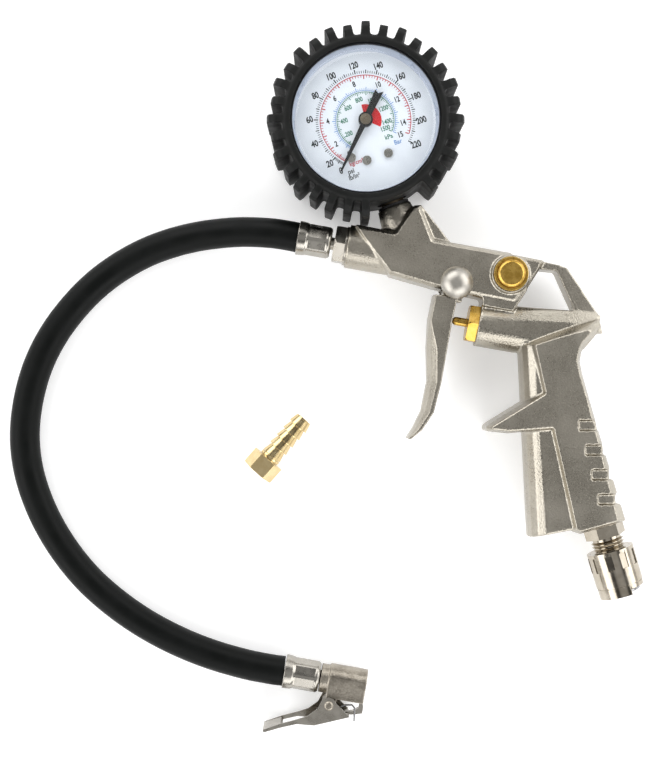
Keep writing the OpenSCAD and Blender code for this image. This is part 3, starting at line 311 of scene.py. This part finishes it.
# dulled brass of the pointer's hub, brown with handling
dulledBrass = surface("dulledBrass", {
    "colours": ("#6d6150", "#857863"), "metallic": 1.0, "rough": (0.34, 0.5),
    "patch": 1.6, "grain": 0.2, "height": 0.01, "lift": 0.4,
})
# blackened steel of the bezel and case
blackSteel = surface("blackSteel", {
    "colours": ("#111214", "#1b1c1f"), "metallic": 0.6, "rough": (0.28, 0.46),
    "patch": 4.0, "grain": 0.3, "height": 0.01, "lift": 0.4,
})
# drawn spring wire, bright
springWire = surface("springWire", {
    "colours": ("#8f8f90", "#a9a9aa"), "metallic": 1.0, "rough": (0.2, 0.36),
    "patch": 2.0, "grain": 0.2, "height": 0.006, "lift": 0.4,
})
# black nitrile of the seals
nitrileRubber = surface("nitrileRubber", {
    "colours": ("#111111", "#1b1b1b"), "rough": (0.42, 0.6),
    "patch": 3.0, "grain": 0.3, "height": 0.01, "lift": 0.4,
})
# grey plastic of the spacer between dial and window, glossy from its mould, its colour darkened to a blue
# grey as painted shade for the window's rim
rimShadePlastic = surface("rimShadePlastic", {
    "colours": ("#a0a6b5", "#b4b9c6"), "rough": (0.24, 0.36),
    "patch": 8.0, "grain": 0.5, "height": 0.004, "lift": 0.2,
})


def printingInk(name, colours):  # a thin screen-printed film, its edge colour a little uneven
    return surface(name, {
        "colours": colours, "rough": (0.42, 0.58),
        "patch": 0.8, "grain": 0.2, "height": 0.004, "lift": 0.3,
        "sockets": {"Specular IOR Level": 0.2},
    })


blackInk = printingInk("blackInk", ("#0e0f12", "#1a1b1f"))
redInk = printingInk("redInk", ("#b3323c", "#c24750"))
signalInk = printingInk("signalInk", ("#c3131c", "#dd1f24"))
blueInk = printingInk("blueInk", ("#5c86bd", "#7b9dcb"))
greenInk = printingInk("greenInk", ("#1f6a4e", "#367c61"))

# clear acrylic window: see-through, with a thin mirror of the room on it
clearAcrylic = bpy.data.materials.new("clearAcrylic")
clearAcrylic.use_nodes = True
windowShader = clearAcrylic.node_tree.nodes["Principled BSDF"]
for socket, value in {
    "Base Color": hexColour("#f6f9fb"), "Roughness": 0.03, "IOR": 1.49, "Transmission Weight": 1.0,
    "Specular IOR Level": 0.12,
}.items():
    windowShader.inputs[socket].default_value = value
windowTree = clearAcrylic.node_tree
lightPath = addNode(windowTree, "ShaderNodeLightPath")
seeThrough = addNode(windowTree, "ShaderNodeBsdfTransparent", {"Color": hexColour("#f3f6f8")})
windowMix = addNode(
    windowTree, "ShaderNodeMixShader", {},
    {0: lightPath.outputs["Is Shadow Ray"], 1: windowShader.outputs["BSDF"], 2: seeThrough.outputs["BSDF"]},
)
windowTree.links.new(windowMix.outputs["Shader"], windowTree.nodes["Material Output"].inputs["Surface"])
print("stage: materials")


# ---- the hose, first of the pieces: one smooth line from the gun to the chuck

hose = {
    "route": [
        (-65, 7.5, 0), (-69, 7.6, 0), (-76, 7.4, -0.4), (-86.9, 6.1, -1.8), (-97, 3.8, -3.4),
        (-106.5, 0.8, -5), (-116.1, -3.4, -6.4), (-125.6, -9, -7.4), (-135.2, -16.8, -7.9),
        (-143.6, -26, -7.9), (-150.8, -36.9, -7.9), (-156.5, -48.8, -7.9), (-160.1, -61.3, -7.9),
        (-161.5, -74.3, -7.9), (-160.9, -87.2, -7.9), (-158.2, -99, -7.9), (-153.2, -110.6, -7.9),
        (-145.8, -122.2, -7.9), (-136.4, -133, -7.9), (-125, -142.8, -7.9), (-112.1, -150.7, -7.9),
        (-98.7, -156.8, -7.9), (-84.8, -161.2, -7.6), (-70.9, -164, -7), (-57, -165.4, -6.4),
        (-46, -165.6, -6), (-40.3, -165.35, -6),
    ],
    "width": 12.0,
    "cuts": 6,  # points drawn for each span of the route
    "sides": 14,
}


def smoothLine(points, cuts):  # the curve through the points that the part's source draws too
    line = []
    for i in range(len(points) - 1):
        a, b, c, d = (points[max(0, min(len(points) - 1, i + k))] for k in (-1, 0, 1, 2))
        for step in range(cuts):
            t = step / cuts
            line.append(0.5 * (
                2 * b + (c - a) * t + (2 * a - 5 * b + 4 * c - d) * t * t
                + (3 * b - a - 3 * c + d) * t ** 3
            ))
    return line + [points[-1]]


hoseLine = smoothLine([atGun(*p) for p in hose["route"]], hose["cuts"])
hoseCurve = bpy.data.curves.new("rubberHose", "CURVE")
hoseCurve.dimensions = "3D"
hoseCurve.bevel_depth = hose["width"] / 2 * mm
hoseCurve.bevel_resolution = hose["sides"]
hoseCurve.use_fill_caps = True
hoseSpline = hoseCurve.splines.new("POLY")
hoseSpline.points.add(len(hoseLine) - 1)
for point, place in zip(hoseSpline.points, hoseLine):
    point.co = (*place, 1.0)
rubberHose = bpy.data.objects.new("rubberHose", hoseCurve)
scene.collection.objects.link(rubberHose)
rubberHose.data.materials.append(hoseRubber)
hoseSpline.use_smooth = True
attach(rubberHose, "gun")
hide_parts("hose")


# ---- gun casting, trigger and what is fixed in them

castGun = {"voxel": 0.5, "rounds": 3, "flat": 0.9}
gunCasting = castForm(solidCopy("gun_body", "gunCasting"), **castGun)
finishPiece(gunCasting, platedCasting, "gun", ["gun_body"])

castTrigger = {"voxel": 0.36, "rounds": 3, "flat": 0.9}
triggerCasting = castForm(solidCopy("trigger", "triggerCasting"), **castTrigger)
finishPiece(triggerCasting, platedCasting, "trigger", ["trigger"])
print("stage: castings")


def dressed(node, name, material, body, edge=0.25, segments=2, angle=30, smooth=40):
    # a pressed or turned part: the CAD form with its sharp edges broken
    piece = solidCopy(node, name)
    if edge:
        modify(
            piece, "BEVEL", width=edge * mm, segments=segments, limit_method="ANGLE",
            angle_limit=math.radians(angle), miter_outer="MITER_ARC", use_clamp_overlap=True,
        )
    smoothBy(piece, smooth)
    modify(piece, "WEIGHTED_NORMAL", mode="FACE_AREA", keep_sharp=True)
    return finishPiece(piece, material, body, [node])


def pressed(node, name, material, body, voxel=0.22, rounds=3, flat=0.9):
    # a crimped, forged or moulded part: one soft-edged skin
    piece = castForm(solidCopy(node, name), voxel, rounds, flat)
    return finishPiece(piece, material, body, [node])


dressed("trigger_rivet", "rivetHead", tumbledSteel, "gun", edge=0.4, segments=3)
dressed("rivet_washer", "rivetCap", tumbledSteel, "gun", edge=0.4, segments=3)
dressed("valve_nut", "valveNut", turnedBrass, "gun", edge=0.3, segments=3)
dressed("valve_stem", "valvePin", turnedBrass, "valve_stem", edge=0.2)
dressed("bleed_guide", "bleedGuide", turnedBrass, "gun", edge=0.35, segments=3)
dressed("bleed_button", "bleedCrown", turnedBrass, "bleed_button", edge=0.4, segments=3)
dressed("hose_fitting", "hoseFitting", platedSteel, "gun", edge=0.35, segments=3)
pressed("hose_ferrule", "gunFerrule", crimpedSteel, "gun", rounds=6)
chuckFerrule = pressed("chuck_ferrule", "chuckFerrule", crimpedSteel, "gun", rounds=6)
print("stage: small parts of the gun")


# ---- chuck

chuckBody = pressed(
    "chuck_body", "chuckBody", chuckCasting, "gun", voxel=0.2, rounds=2,
)
chuckLever = dressed(
    "chuck_lever", "chuckLever", platedSteel, "chuck_lever", edge=0.22, segments=2,
)
chuckPin = dressed("chuck_pin", "chuckPin", chuckCasting, "gun", edge=0.08)
print("stage: chuck")


# ---- gauge

pressed("gauge_boot", "rubberBoot", mouldedRubber, "gun", voxel=0.45, rounds=2, flat=0.9)
dressed("gauge_bezel", "bezelRing", blackSteel, "gun", edge=0.3, segments=3)

hub = {"x": -46.45, "y": 55.91}  # the gauge's middle, from the trigger's pivot
hubPlace = atGun(hub["x"], hub["y"], 0)


def turned(name, profile, segments=192):
    # a profile of (radius, height) in millimetres, spun round the gauge's middle
    mesh = bpy.data.meshes.new(name)
    piece = bpy.data.objects.new(name, mesh)
    scene.collection.objects.link(piece)
    places = [hubPlace + Vector((r * mm, 0, z * mm)) for r, z in profile]
    edges = [(i, i + 1) for i in range(len(profile) - 1)]
    mesh.from_pydata(places, edges, [])
    pick(piece)
    bpy.ops.object.mode_set(mode="EDIT")
    bpy.ops.mesh.select_all(action="SELECT")
    bpy.ops.mesh.spin(steps=segments, angle=2 * math.pi, center=hubPlace, axis=(0, 0, 1))
    bpy.ops.mesh.select_all(action="SELECT")
    bpy.ops.mesh.remove_doubles(threshold=weldGap * mm)
    bpy.ops.mesh.normals_make_consistent(inside=False)
    bpy.ops.object.mode_set(mode="OBJECT")
    return smoothBy(piece, 35)


# window: flat below, its upper face crowned, its rim rounded off under the bezel
window = turned("gaugeWindow", [
    (0, 16.0), (28.9, 16.0), (29.05, 16.15), (29.05, 16.9), (28.9, 17.12), (28.4, 17.2),
    (27.6, 17.75), (26.0, 18.3), (22.0, 18.75), (14.0, 19.1), (6.0, 19.25), (0, 19.3),
])
finishPiece(window, clearAcrylic, "gun", ["gauge_lens"])

spacer = turned("spacerRing", [
    (28.95, 12.03), (28.95, 15.95), (28.5, 15.95), (28.0, 15.2),
    (27.2, 13.5), (26.6, 12.4), (26.4, 12.03), (28.95, 12.03),
])
# the spacer's darkened blue grey is painted shade at the window's rim
finishPiece(spacer, rimShadePlastic, "gun", ["lens_gasket"])

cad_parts["gauge_dial"].data.materials.clear()
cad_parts["gauge_dial"].data.materials.append(whiteEnamel)

dressed("dial_screws", "dialScrews", platedSteel, "gun", edge=0.12, segments=2)
dressed("pointer", "pointerBlade", blackPaint, "pointer", edge=0.08, segments=2)
dressed("pinion_arbor", "pointerArbor", turnedBrass, "pointer", edge=0)

pointerCap = turned("pointerCap", [
    (0, 15.22), (2.1, 15.22), (2.15, 15.3), (2.1, 15.42),
    (1.8, 15.5), (0.45, 15.5), (0.35, 15.35), (0, 15.3),
], 48)
finishPiece(pointerCap, dulledBrass, "pointer", ())
print("stage: gauge body")


# ---- dial printing: four scales, their numbers and units, in thin ink on the enamel

dial = {
    "zeroAngle": 254.2,  # where every scale starts
    "kneePsi": 20.0,  # the tube gives less up to here, so the marks stand closer
    "lowStep": 0.68,  # degrees clockwise for each psi below the knee, and above it
    "highStep": 1.28,
    "textTurn": 29.5,  # the dial's own upright
    "inkTop": 12.035,
    "inkDepth": 0.03,
}
scales = {
    "psi": {
        "ink": blackInk, "psi": 1.0, "full": 220, "small": 2, "middle": 10, "long": 20,
        "root": 18.3, "reach": (1.0, 1.4, 1.7), "width": (0.24, 0.36, 0.42),
        "numbers": range(0, 221, 20), "numberRadius": 21.6, "size": 3.35, "bold": 0.11,
    },
    "kgcm": {
        "ink": redInk, "psi": 14.22, "full": 15, "small": 0.2, "middle": 1, "long": 2,
        "root": 17.5, "reach": (-0.85, -1.4, -1.4), "width": (0.25, 0.42, 0.42),
        "numbers": (), "numberRadius": 0, "size": 0, "bold": 0,
    },
    "bar": {
        "ink": blueInk, "psi": 14.5, "full": 15, "small": 0.2, "middle": 1, "long": 2,
        "root": 11.7, "reach": (0.8, 1.3, 1.3), "width": (0.18, 0.3, 0.3),
        "numbers": (), "numberRadius": 0, "size": 0, "bold": 0,
    },
    "kpa": {
        "ink": greenInk, "psi": 0.145, "full": 1500, "small": 20, "middle": 100, "long": 200,
        "root": 11.0, "reach": (-0.7, -1.2, -1.2), "width": (0.18, 0.3, 0.3),
        "numbers": (200, 400, 600, 800, 1000, 1200, 1400, 1500),
        "numberRadius": 8.3, "size": 2.55, "bold": 0.07,
    },
}
arcs = [  # each printed circle: ink, radius, width, and where it ends in psi
    ("redArc", redInk, 17.6, 0.32, 213.3),
    ("blueArc", blueInk, 11.65, 0.24, 217.5),
    ("greenArc", greenInk, 11.1, 0.26, 217.5),
]
barNumbers = {"values": (0, 2, 4, 6, 8, 10, 12, 14, 15), "radius": 14.6, "size": 3.0, "bold": 0.09}


def dialAngle(psi):  # the direction on the dial, for every scale
    low = min(psi, dial["kneePsi"])
    return math.radians(dial["zeroAngle"] - dial["lowStep"] * low - dial["highStep"] * (psi - low))


def onGrid(value, step):  # whether a value is a whole number of steps
    return abs(value / step - round(value / step)) < 1e-6


def setMark(mark, angle, inner, outer, width):  # turns a unit cube into one tick
    middle = (inner + outer) / 2
    mark.scale = (abs(outer - inner) * mm, width * mm, dial["inkDepth"] * mm)
    mark.rotation_euler = (0, 0, angle)
    mark.location = hubPlace + Vector((
        middle * math.cos(angle) * mm, middle * math.sin(angle) * mm,
        (dial["inkTop"] - dial["inkDepth"] / 2) * mm,
    ))


def inkMarks(name, scale):
    # one cube is made and copied for every tick of a scale
    marks = []
    bpy.ops.mesh.primitive_cube_add(size=1.0)
    seed = bpy.context.object
    for i in range(round(scale["full"] / scale["small"]) + 1):
        value = i * scale["small"]
        rank = 2 if onGrid(value, scale["long"]) else 1 if onGrid(value, scale["middle"]) else 0
        mark = seed.copy()
        mark.data = seed.data.copy()
        scene.collection.objects.link(mark)
        outer = scale["root"] + scale["reach"][rank]
        angle = dialAngle(value * scale["psi"])
        setMark(mark, angle, scale["root"], outer, scale["width"][rank])
        marks.append(mark)
    bpy.data.objects.remove(seed)
    return finishPiece(joinAll(marks, name), scale["ink"], "gun")


def inkText(words, size, place, turn, bold=0.0, narrow=0.76):
    # the letters are made a flat mesh first, then given the ink's thickness and put in place
    bpy.ops.object.text_add()
    text = bpy.context.object
    text.data.body = words
    text.data.size = size * mm
    text.data.offset = bold * mm
    text.data.resolution_u = 4
    text.data.align_x = "CENTER"
    text.data.align_y = "CENTER"
    text.data.extrude = dial["inkDepth"] / 2 * mm
    pick(text)
    bpy.ops.object.convert(target="MESH")
    text = bpy.context.object
    text.scale = (narrow, 1, 1)
    text.rotation_euler = (0, 0, math.radians(turn))
    text.location = hubPlace + Vector((
        place[0] * mm, place[1] * mm, (dial["inkTop"] - dial["inkDepth"] / 2) * mm
    ))
    return text


def inkNumbers(name, values, psi, radius, size, ink, bold):
    texts = []
    for value in values:
        angle = dialAngle(value * psi)
        texts.append(inkText(
            str(value), size, (radius * math.cos(angle), radius * math.sin(angle)), dial["textTurn"], bold
        ))
    return finishPiece(joinAll(texts, name), ink, "gun")


def inkArc(name, ink, radius, width, full):
    # a thin ring of ink from nought to a pressure in psi
    mesh = bpy.data.meshes.new(name)
    piece = bpy.data.objects.new(name, mesh)
    scene.collection.objects.link(piece)
    low = dial["inkTop"] - dial["inkDepth"]
    first = dialAngle(0)
    corners = [
        (radius - width / 2, low), (radius + width / 2, low),
        (radius + width / 2, dial["inkTop"]), (radius - width / 2, dial["inkTop"]),
    ]
    places = [
        hubPlace + Vector((r * math.cos(first) * mm, r * math.sin(first) * mm, z * mm)) for r, z in corners
    ]
    mesh.from_pydata(places, [], [(0, 1, 2, 3)])
    pick(piece)
    bpy.ops.object.mode_set(mode="EDIT")
    bpy.ops.mesh.select_all(action="SELECT")
    bpy.ops.mesh.spin(
        steps=120, angle=dialAngle(full) - first, center=hubPlace, axis=(0, 0, -1),
    )
    bpy.ops.object.mode_set(mode="OBJECT")
    faceOutwards(piece)
    return finishPiece(piece, ink, "gun")


for name, scale in scales.items():
    inkMarks(name + "Marks", scale)
    if scale["numbers"]:
        inkNumbers(
            name + "Numbers", scale["numbers"], scale["psi"], scale["numberRadius"], scale["size"],
            scale["ink"], scale["bold"],
        )
inkNumbers(
    "barNumbers", barNumbers["values"], scales["bar"]["psi"], barNumbers["radius"], barNumbers["size"],
    blackInk, barNumbers["bold"],
)
for name, ink, radius, width, full in arcs:
    inkArc(name, ink, radius, width, full)
print("stage: dial printing")


# the red sector printed round the pointer's hub, and the scales' unit marks
redSector = {"first": 115.0, "last": -13.0, "radius": 6.3}


def inkSector(name, ink, first, last, radius):
    mesh = bpy.data.meshes.new(name)
    piece = bpy.data.objects.new(name, mesh)
    scene.collection.objects.link(piece)
    low, high = dial["inkTop"] - dial["inkDepth"], dial["inkTop"]
    angles = [math.radians(last + (first - last) * i / 24) for i in range(25)]
    rim = [(0.0, 0.0)] + [(radius * math.cos(a), radius * math.sin(a)) for a in angles]
    places = [hubPlace + Vector((x * mm, y * mm, z * mm)) for z in (low, high) for x, y in rim]
    n = len(rim)
    sides = [(i, (i + 1) % n, (i + 1) % n + n, i + n) for i in range(n)]
    mesh.from_pydata(places, [], [tuple(range(n)), tuple(range(n, 2 * n)), *sides])
    faceOutwards(piece)
    return finishPiece(piece, ink, "gun")


inkSector("redSector", signalInk, redSector["first"], redSector["last"], redSector["radius"])
unitBold = 0.05
unitWidth = 0.9  # the letters' width beside their own drawing
units = [  # name, words, ink, size, and place from the hub: right and up as the dial reads
    ("kgcmUnit", "kg/cm²", redInk, 2.3, (-8.7, -14.1)),
    ("psiUnit", "psi", blackInk, 2.6, (-11.8, -16.7)),
    ("poundUnit", "lb/in²", blackInk, 2.4, (-11.2, -18.9)),
    ("kpaUnit", "kPa", greenInk, 2.5, (6.4, -9.0)),
    ("barUnit", "Bar", blueInk, 2.5, (9.1, -12.0)),
]
dialUp = math.radians(dial["textTurn"])
for name, words, ink, size, (right, up) in units:
    place = (
        right * math.cos(dialUp) - up * math.sin(dialUp),
        right * math.sin(dialUp) + up * math.cos(dialUp),
    )
    text = inkText(words, size, place, dial["textTurn"], unitBold, unitWidth)
    finishPiece(joinAll([text], name), ink, "gun")
print("stage: dial words")


# ---- inlet and quick coupler

dressed("inlet_nipple", "inletNipple", polishedChrome, "gun", edge=0.3, segments=3)
dressed("coupler_body", "couplerBody", polishedChrome, "gun", edge=0.2)
dressed("coupler_sleeve", "couplerSleeve", polishedChrome, "coupler_sleeve", edge=0.35, segments=3)
print("stage: coupler")


# ---- loose hose tail with its nut and washer

dressed("hose_tail", "hoseTail", paleBrass, "hose_tail", edge=0.2)
dressed("tail_nut", "tailNut", paleBrass, "hose_tail", edge=0.25, segments=3)
dressed("tail_washer", "tailWasher", nitrileRubber, "hose_tail", edge=0.15)
print("stage: hose tail")


# ---- parts that only show through a gap: their CAD forms stay, with the real finishes

hiddenFinishes = {
    "valve_seal": nitrileRubber, "valve_spring": springWire, "bleed_spring": springWire,
    "bleed_seal": nitrileRubber, "hose_end_gun": hoseRubber, "hose_end_chuck": hoseRubber,
    "chuck_seal": nitrileRubber, "chuck_depressor": turnedBrass, "chuck_spring": springWire,
    "gauge_case": blackSteel, "gauge_socket": dulledBrass, "stem_seal": nitrileRubber,
    "bourdon_tube": turnedBrass, "bourdon_tip": turnedBrass, "movement_frame": turnedBrass,
    "sector_gear": turnedBrass, "hairspring": springWire, "link_bar": turnedBrass,
    "inlet_seal": nitrileRubber, "coupler_spring": springWire, "coupler_balls": polishedChrome,
    "coupler_clip": springWire, "coupler_valve": turnedBrass, "coupler_valve_spring": springWire,
    "coupler_seal": nitrileRubber,
}
for node, finish in hiddenFinishes.items():
    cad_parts[node].data.materials.clear()
    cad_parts[node].data.materials.append(finish)


# ---- studio: white card below, a soft sky, and four soft boxes round the table

studio = {
    "floorSize": 4.0,
    "floorGlow": 0.33,  # share of the card's white that no shadow takes away
    "boxStart": 35.0,  # degrees round the table to the first soft box
    "boxReach": 0.58,
    "boxHeight": 0.40,
    "boxSize": (0.75, 0.45),
    "boxPower": 2.3,
    "sky": (
        (0.0, 0.9), (0.24, 0.9), (0.36, 1.35), (0.54, 1.30),
        (0.68, 0.22), (0.88, 0.08), (0.965, 0.50), (1.0, 0.52),
    ),
}
bpy.ops.mesh.primitive_plane_add(size=studio["floorSize"], location=(0.0, 0.0, 0.0))
floor = bpy.context.object
floor.name = "studioFloor"
floorPaper = bpy.data.materials.new("floorPaper")  # uncoated white card lit a little from below
floorPaper.use_nodes = True
floorShader = floorPaper.node_tree.nodes["Principled BSDF"]
floorShader.inputs["Base Color"].default_value = hexColour("#efefef")
floorShader.inputs["Roughness"].default_value = 0.9
floorShader.inputs["Specular IOR Level"].default_value = 0.1
floorShader.inputs["Emission Color"].default_value = (1, 1, 1, 1)
floorShader.inputs["Emission Strength"].default_value = studio["floorGlow"]
floor.data.materials.append(floorPaper)

for side in range(4):
    angle = math.radians(studio["boxStart"] + 90 * side)
    place = Vector((
        camera["place"][0] + studio["boxReach"] * math.cos(angle),
        camera["place"][1] + studio["boxReach"] * math.sin(angle), studio["boxHeight"],
    ))
    aim = Vector((camera["place"][0], camera["place"][1], 0.0)) - place
    bpy.ops.object.light_add(type="AREA", location=place, rotation=aim.to_track_quat("-Z", "Y").to_euler())
    softBox = bpy.context.object.data
    softBox.shape = "RECTANGLE"
    softBox.size, softBox.size_y = studio["boxSize"]
    softBox.energy = studio["boxPower"]

sky = bpy.data.worlds.new("studioSky")
scene.world = sky
sky.use_nodes = True
skyTree = sky.node_tree
for node in list(skyTree.nodes):
    skyTree.nodes.remove(node)
direction = addNode(skyTree, "ShaderNodeTexCoord")
parts = addNode(skyTree, "ShaderNodeSeparateXYZ", {}, {0: direction.outputs["Generated"]})
# how bright the room is at each height: white walls, a brighter ring, a dark band, a grey ceiling
rooms = addNode(skyTree, "ShaderNodeValToRGB", {}, {0: parts.outputs["Z"]})
ramp = rooms.color_ramp
ramp.interpolation = "EASE"
for place, level in studio["sky"][1:-1]:
    ramp.elements.new(place)
for element, (place, level) in zip(ramp.elements, studio["sky"]):
    element.position = place
    element.color = (level, level, level, 1.0)
softSky = addNode(skyTree, "ShaderNodeBackground", {"Strength": 1.0}, {"Color": rooms.outputs["Color"]})
addNode(skyTree, "ShaderNodeOutputWorld", {}, {"Surface": softSky.outputs["Background"]})
scene.view_settings.view_transform = "Standard"
print("stage: studio")
